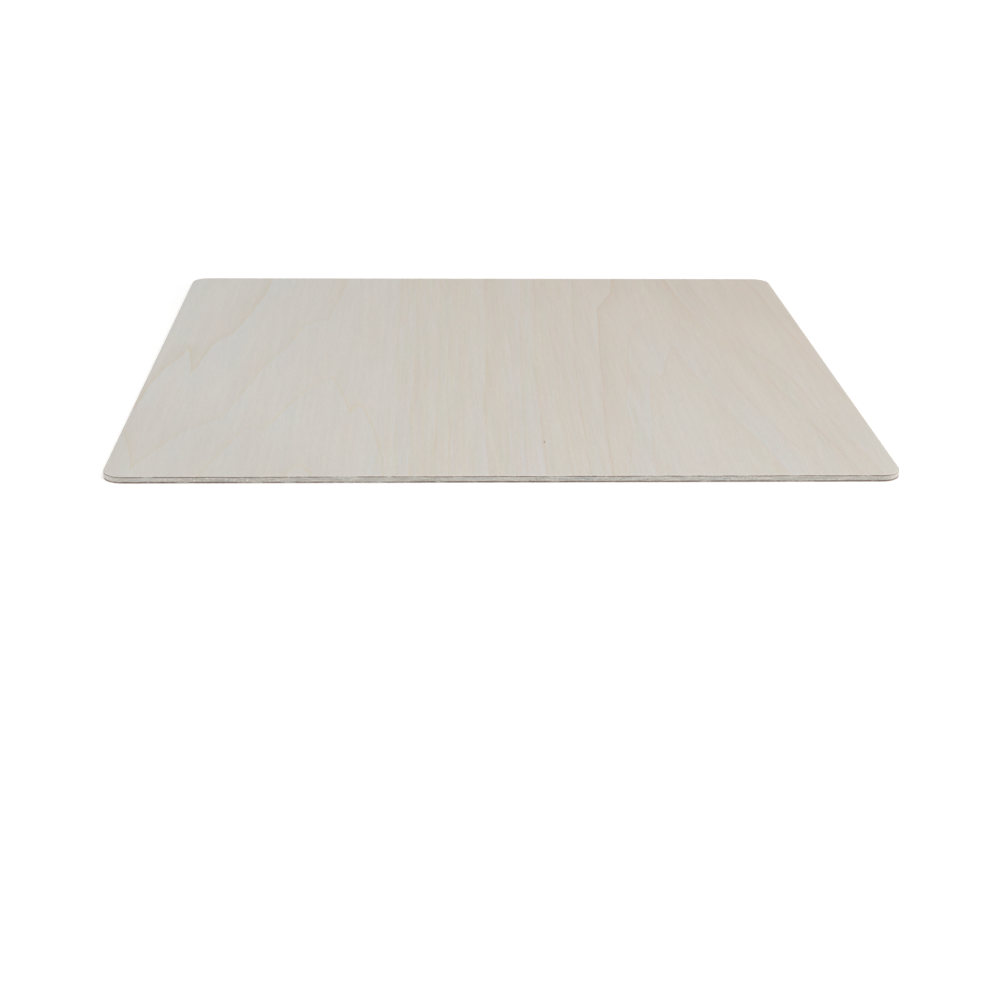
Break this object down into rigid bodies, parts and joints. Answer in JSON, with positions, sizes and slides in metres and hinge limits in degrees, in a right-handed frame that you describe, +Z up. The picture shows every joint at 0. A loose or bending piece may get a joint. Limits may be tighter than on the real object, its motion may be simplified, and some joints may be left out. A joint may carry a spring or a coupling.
{
  "type": "plywood sheet",
  "caption": "Thin square sheet of pale plywood with rounded corners: face and back veneers glued to a cross-grained core; flat stock for laser cutting, craft and model making.",
  "frame": {"origin": "middle of the underside, on the surface the sheet lies on", "axes": "+Z up through the sheet's thickness, towards the face veneer; +Y along the grain of the face and back veneers, away from the viewer of the picture; +X to the viewer's right, along the core's grain"},
  "size_m": [0.3, 0.3, 0.003],
  "materials": {
    "face_wood": "matte",
    "core_wood": "matte",
    "back_wood": "matte"
  },
  "bodies": {
    "root": {"back_veneer": "back_wood", "core_veneer": "core_wood", "face_veneer": "face_wood"}
  },
  "joints": []
}
